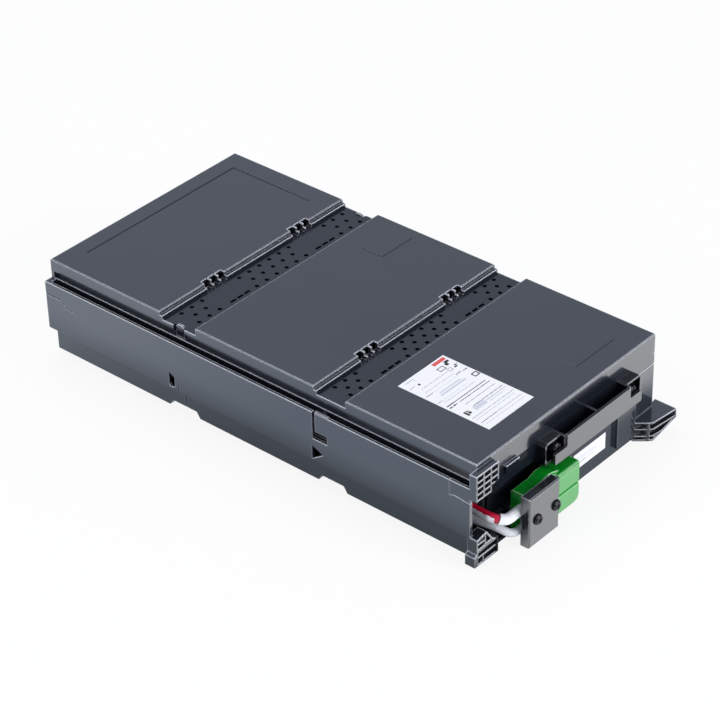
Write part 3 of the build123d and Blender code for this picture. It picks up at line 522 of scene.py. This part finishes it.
white_film = printed_film("white_film", (0.93, 0.92, 0.905), (0.88, 0.87, 0.855), 0.32)
black_ink = printed_film("black_ink", (0.018, 0.018, 0.022), (0.035, 0.035, 0.040), 0.38)
grey_ink = printed_film("grey_ink", (0.24, 0.25, 0.28), (0.30, 0.31, 0.35), 0.38)
pale_ink = printed_film("pale_ink", (0.60, 0.61, 0.68), (0.66, 0.67, 0.73), 0.36)
red_ink = printed_film("red_ink", (0.76, 0.095, 0.090), (0.70, 0.080, 0.076), 0.34)
print("materials so far:", len(bpy.data.materials))

# %% [markdown]
# Every node of the frame takes its finish here. A CAD mesh is never changed: only the material in
# its slot is. Six blocks and five jumpers share a finish each, so their names are matched by
# their first word.

# %% Give every node its finish
FINISH_BY_NAME = {
    "tray": tray_plastic,
    "top_cover": case_plastic,
    "handle": handle_plastic,
    "handle_screws": screw_steel,
    "plate_screws": screw_steel,
    "connector_upper": green_plastic,
    "connector_lower": green_plastic,
    "connector_contacts": contact_metal,
    "connector_plate": plate_plastic,
    "positive_lead": red_insulation,
    "negative_lead": grey_insulation,
    "lead_sleeve": sleeve_weave,
    "terminal_tabs": tab_metal,
    "terminal_boots": boot_rubber,
    "floor_pads": foam_black,
    "lid_pads": foam_black,
    "label_top": white_film,
    "label_front": white_film,
}
FINISH_BY_FIRST_WORD = {"battery": block_plastic, "jumper": black_insulation}


def dress(node, material):
    """Puts one material in the node's only slot."""
    node.data.materials.clear()
    node.data.materials.append(material)


for name, node in nodes.items():
    dress(node, FINISH_BY_NAME.get(name) or FINISH_BY_FIRST_WORD[name.split("_")[0]])
print("nodes dressed:", len(nodes))

# %% [markdown]
# Print on a label has almost no thickness, but it still has to be a closed shape to be kept as a
# part. Each mark is a thin box from a bmesh cube, and all marks of one ink are one mesh that rides
# on the case.

# %% A new piece, and a bar of ink
INK_THICKNESS = 0.00003


def new_piece(name, bm, material):
    """Mesh object from a bmesh, riding on the case."""
    bmesh.ops.recalc_face_normals(bm, faces=bm.faces)
    mesh = bpy.data.meshes.new(name)
    bm.to_mesh(mesh)
    bm.free()
    mesh.materials.append(material)
    piece = bpy.data.objects.new(name, mesh)
    bpy.context.scene.collection.objects.link(piece)
    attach(piece, "root")
    return piece


def add_bar(bm, low, high):
    """Closed box between two corners."""
    low, high = Vector(low), Vector(high)
    size = high - low
    place = Matrix.Translation((low + high) / 2) @ Matrix.Diagonal((*size, 1))
    bmesh.ops.create_cube(bm, size=1.0, matrix=place)


print("ink stands", round(INK_THICKNESS * 1000, 3), "mm proud")

# %% [markdown]
# Places on a label are shares of its own width and height, so the print stays right if the label
# moves. One label lies flat and the other stands upright, so each has its own small function that
# turns two shares into a point, and the bars don't need to know which label they are on.

# %% Places on the two labels
top_low, top_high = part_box("label_top")
front_low, front_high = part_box("label_front")


def on_top(u, v, lift=0.0):
    """Point on the top label: u across its width from the left, v from its front edge."""
    return Vector((top_low.x + u * (top_high.x - top_low.x),
                   top_low.y + v * (top_high.y - top_low.y), top_high.z + lift))


def on_front(u, v, lift=0.0):
    """Point on the front label: u from its left end, v up from its foot."""
    return Vector((front_low.x + u * (front_high.x - front_low.x), front_low.y - lift,
                   front_low.z + v * (front_high.z - front_low.z)))


def print_marks(name, spans, ink, surface):
    """One mesh of printed bars, each given as (u0, v0, u1, v1) on a label."""
    bm = bmesh.new()
    for u0, v0, u1, v1 in spans:
        first, last = surface(u0, v0), surface(u1, v1, INK_THICKNESS)
        add_bar(bm, map(min, first, last), map(max, first, last))
    new_piece(name, bm, ink)
    print(name, len(spans), "marks")


for name, size in {"top": top_high - top_low, "front": front_high - front_low}.items():
    print(name, "label, mm:", [round(side * 1000, 2) for side in size])

# %% [markdown]
# A line of print is a row of bars of changing length, which reads as print from a step away. A
# fixed rhythm of lengths, entered at another place for each line, keeps the lines from looking
# alike without a random draw.

# %% Lines of print and frames
WORD_RHYTHM = (5, 3, 7, 2, 6, 4, 8, 3, 5, 6, 2, 7)
LETTER = 0.011      # share of the label's width
LABEL_SHAPE = 1.6   # the label is so much longer than wide, and upright lines are widened by it


def words(u0, u1, v, tall, start=0):
    """One printed line as bars with gaps, following the word rhythm from a given place."""
    spans = []
    while u0 < u1:
        length = WORD_RHYTHM[start % len(WORD_RHYTHM)] * LETTER
        spans.append((u0, v, min(u0 + length, u1), v + tall))
        u0 += length + LETTER
        start += 1
    return spans


def frame_mark(u, v, wide, tall, line):
    """Four bars round a rectangle with its centre at u, v."""
    left, right, low, high = u - wide / 2, u + wide / 2, v - tall / 2, v + tall / 2
    upright = line * LABEL_SHAPE
    return [(left, low, right, low + line), (left, high - line, right, high),
            (left, low + line, left + upright, high - line),
            (right - upright, low + line, right, high - line)]


print("bars in a full line:", len(words(0, 1, 0, 1)))

# %% [markdown]
# The top label has a red bar at its far corner, a few small blocks and frames beside it, and lines
# of print that run across the case. A long thin line at the middle parts the two halves. Dark,
# grey and pale inks give the lines their different weights.

# %% Print of the top label
dark_marks = [
    # the long line, the line under it, and the second rank of print
    (0.04, 0.470, 0.20, 0.482), (0.20, 0.472, 0.90, 0.480), (0.04, 0.436, 0.10, 0.450),
    *words(0.12, 0.20, 0.436, 0.014), *words(0.25, 0.93, 0.437, 0.008, 3),
    *words(0.30, 0.95, 0.312, 0.007, 5),
    # blocks near the far edge, and two short lines
    (0.20, 0.862, 0.24, 0.884), (0.86, 0.900, 0.95, 0.930), (0.83, 0.868, 0.89, 0.904),
    (0.87, 0.795, 0.93, 0.812), (0.90, 0.818, 0.96, 0.832), (0.04, 0.700, 0.19, 0.706),
    (0.05, 0.105, 0.40, 0.111),
    # two frames, and the block at the left near the front
    *frame_mark(0.72, 0.875, 0.13, 0.055, 0.008), *frame_mark(0.93, 0.600, 0.11, 0.060, 0.012),
    (0.07, 0.250, 0.11, 0.318), (0.12, 0.262, 0.17, 0.292), (0.12, 0.300, 0.16, 0.314),
]
grey_marks = [
    *words(0.26, 0.92, 0.377, 0.007, 2), *words(0.51, 0.95, 0.280, 0.006, 7),
    *words(0.05, 0.97, 0.198, 0.006, 4), *words(0.42, 0.95, 0.106, 0.005, 6),
    *words(0.035, 0.14, 0.563, 0.007), *frame_mark(0.79, 0.812, 0.08, 0.045, 0.006),
    (0.04, 0.882, 0.15, 0.888), (0.10, 0.962, 0.26, 0.968), (0.254, 0.925, 0.26, 0.962),
    *words(0.15, 0.72, 0.806, 0.005, 1), *words(0.74, 0.84, 0.715, 0.014, 1),
    *words(0.12, 0.75, 0.748, 0.004, 8), *words(0.88, 0.97, 0.705, 0.016, 3),
]
pale_marks = [
    (0.25, 0.252, 0.50, 0.306), (0.20, 0.610, 0.75, 0.632), (0.24, 0.645, 0.70, 0.662),
    *words(0.16, 0.70, 0.563, 0.006, 2), *words(0.21, 0.75, 0.700, 0.005, 9),
    *words(0.10, 0.78, 0.525, 0.012, 5), *words(0.06, 0.90, 0.160, 0.010, 3),
    *words(0.08, 0.92, 0.062, 0.008, 7), *words(0.55, 0.88, 0.250, 0.010, 6),
]
print_marks("label_red_bar", [(0.70, 0.942, 0.96, 0.982)], red_ink, on_top)
print_marks("label_dark_print", dark_marks, black_ink, on_top)
print_marks("label_grey_print", grey_marks, grey_ink, on_top)
print_marks("label_pale_print", pale_marks, pale_ink, on_top)

# %% [markdown]
# The small label under the handle is nearly empty. It has one short line in two weights and two
# faint rows above it.

# %% Print of the front label
front_marks = [(0.12, 0.32, 0.40, 0.36), (0.40, 0.325, 0.65, 0.345)]
front_faint = words(0.10, 0.72, 0.52, 0.06, 2) + words(0.10, 0.60, 0.66, 0.05, 6)
print_marks("front_label_line", front_marks, grey_ink, on_front)
print_marks("front_label_print", front_faint, pale_ink, on_front)

# %% [markdown]
# The white sleeve on the red lead is split where it leaves the case: its lower half still cups the
# lead and its edges are frayed, so red shows along the top. A bmesh grid is laid along the lead,
# one row of vertices to each place, and bent round it; the row's two ends wander a little, which
# frays the edge. Solidify then gives it the thickness of the weave.

# %% Split end of the sleeve
LEAD_PATH = (
    Vector((-0.0902, -0.1930, 0.0310)),
    Vector((-0.0906, -0.2115, 0.0306)),
    Vector((-0.0886, -0.2158, 0.0292)),
)
SPLIT_ROWS = 22
SPLIT_COLUMNS = 9
SPLIT_RADIUS = 0.00375
SPLIT_FROM, SPLIT_TO = 142, 310                     # degrees round the lead
FRAY = (2, -3, 5, 7, 3, -2, -6, -4, 1, 4, -1)       # degrees that each row wanders
FRAY_STEP = 3                                       # the two edges fray out of step
WEAVE_THICKNESS = 0.0004


def lead_point(share):
    """Place on the lead from the case, at 0, to the whole sleeve, at 1."""
    lengths = [(b - a).length for a, b in zip(LEAD_PATH, LEAD_PATH[1:])]
    left = share * sum(lengths)
    for a, b, length in zip(LEAD_PATH, LEAD_PATH[1:], lengths):
        if left <= length:
            return a.lerp(b, left / length)
        left -= length
    return LEAD_PATH[-1]


bm = bmesh.new()
bmesh.ops.create_grid(bm, x_segments=SPLIT_ROWS, y_segments=SPLIT_COLUMNS, size=0.5)
for vertex in bm.verts:
    share, turn = vertex.co.x + 0.5, vertex.co.y + 0.5
    row = round(share * SPLIT_ROWS)
    start = math.radians(SPLIT_FROM + FRAY[row % len(FRAY)])
    end = math.radians(SPLIT_TO + FRAY[(row * FRAY_STEP) % len(FRAY)])
    angle = start + turn * (end - start)
    around = Vector((math.cos(angle), 0, math.sin(angle)))
    vertex.co = lead_point(share) + SPLIT_RADIUS * around
bmesh.ops.solidify(bm, geom=bm.faces, thickness=WEAVE_THICKNESS)
split_sleeve = new_piece("sleeve_split_end", bm, sleeve_weave)
print("split sleeve faces:", len(split_sleeve.data.polygons))

# %% [markdown]
# The floor is a large pale sheet that is not part of the object, and it keeps the soft shadow of
# the case. Seen by the camera it glows close to white. Seen in the shine of the case it carries
# painted light and shade: a painted pool of light in front of the cartridge, where the handle, the
# plate and the front wall mirror it, bluish tones beside it, darker towards the front, and a
# painted shadow close to its foot. Light Path tells the two kinds of ray apart, and ramps on the
# floor's own coordinates place the painted tones. The mask of a Mix Shader then lets the glow take
# over.

# %% Floor
FLOOR_SIZE = 8.0
FLOOR_DROP = 0.0002
FLOOR_SEEN, FLOOR_MIRRORED = 0.88, 0.85   # share of the glow for each kind of ray
# Painted light and shade in the floor's reflection: a pool of light in front, bluish tones beside,
# a shadow at the foot.
GLOW_SEEN = (1.0, 1.0, 1.0)
PAINTED_LIGHT_IN_FRONT = (1.34, 1.34, 1.36)
GLOW_BESIDE_FRONT, GLOW_BESIDE_REAR = (0.57, 0.65, 0.80), (0.84, 0.92, 1.07)
PAINTED_SHADOW_AT_FOOT = (0.26, 0.30, 0.34)
# Ramps: where each one starts, and how much of it a metre brings
FRONT_RAMP = (-0.236, -70.0)
BAY_RAMP_Y, BAY_RAMP_X = (-0.217, -100.0), (0.024, -50.0)
FOOT_RAMP_X, FOOT_RAMP_Y = (0.156, -42.0), (0.0, 2.5)
REAR_RAMP = (0.0, 5.0)

bm = bmesh.new()
bmesh.ops.create_grid(bm, x_segments=1, y_segments=1, size=FLOOR_SIZE)
floor_mesh = bpy.data.meshes.new("floor")
bm.to_mesh(floor_mesh)
bm.free()
floor = bpy.data.objects.new("floor", floor_mesh)
bpy.context.scene.collection.objects.link(floor)
floor.location.z = -FLOOR_DROP

paper = Finish("floor_paper")
floor_mesh.materials.append(paper.surface(Base_Color=(0.90, 0.90, 0.90), Roughness=0.9))
seen = paper.node("ShaderNodeLightPath", {}, {}, "Is Camera Ray")
mirrored = paper.node("ShaderNodeLightPath", {}, {}, "Is Glossy Ray")
across, along = paper.axis("X"), paper.axis("Y")
before_the_bay = along.ramp(*BAY_RAMP_Y) * across.ramp(*BAY_RAMP_X)
front_light_pool = (along.ramp(*FRONT_RAMP) + before_the_bay).clamped()
foot_shadow = across.unsigned().ramp(*FOOT_RAMP_X) * (1.0 - along.ramp(*FOOT_RAMP_Y))
glow = paper.mix(along.ramp(*REAR_RAMP), GLOW_BESIDE_FRONT, GLOW_BESIDE_REAR)
glow = paper.mix(foot_shadow, glow, PAINTED_SHADOW_AT_FOOT)
glow = paper.mix(front_light_pool, glow, PAINTED_LIGHT_IN_FRONT)
glow = paper.mix(mirrored, GLOW_SEEN, glow)
lit_share = (seen * FLOOR_SEEN + mirrored * FLOOR_MIRRORED).clamped()
paper.turned_into("ShaderNodeEmission", lit_share, glow)
print("floor:", 2 * FLOOR_SIZE, "m across")

# %% [markdown]
# The sky is white for the camera and a darker blue grey for every other ray, as the upper part of
# a studio is, and that is the slate blue of the lids. Three large soft lamps, in front, at the
# left and above, give the walls their even light.

# %% Sky and lamps
SKY_SEEN = (1, 1, 1, 1)
SKY_MIRRORED = (0.385, 0.42, 0.51, 1)
LAMPS = {  # place, what it looks at, size in metres, watts
    "front_lamp": ((0.5, -2.4, 0.8), (0, -0.1, 0), 1.6, 46),
    "left_lamp": ((-2.4, 0.6, 1.4), (0, 0, 0), 1.6, 22),
    "top_lamp": ((0.3, 1.0, 2.4), (0, 0, 0), 1.8, 26),
}

world = bpy.data.worlds.new("studio")
bpy.context.scene.world = world
world.use_nodes = True
sky_tree = world.node_tree
rays = sky_tree.nodes.new("ShaderNodeLightPath")
sky_mix = sky_tree.nodes.new("ShaderNodeMix")
sky_mix.data_type = "RGBA"
sky_mix.inputs[COLOUR_A].default_value = SKY_MIRRORED
sky_mix.inputs[COLOUR_B].default_value = SKY_SEEN
sky_tree.links.new(rays.outputs["Is Camera Ray"], sky_mix.inputs[0])
sky_tree.links.new(sky_mix.outputs[COLOUR_OUT], sky_tree.nodes["Background"].inputs["Color"])


def soft_lamp(name, place, aim, size, power):
    """Large square lamp that looks at a point."""
    data = bpy.data.lights.new(name, "AREA")
    data.size = size
    data.energy = power
    lamp = bpy.data.objects.new(name, data)
    bpy.context.scene.collection.objects.link(lamp)
    lamp.location = place
    lamp.rotation_euler = (Vector(aim) - Vector(place)).to_track_quat("-Z", "Y").to_euler()


for name, (place, aim, size, power) in LAMPS.items():
    soft_lamp(name, place, aim, size, power)
print("lamps:", len(LAMPS))

# %% [markdown]
# The object keeps the size that the CAD gave it.
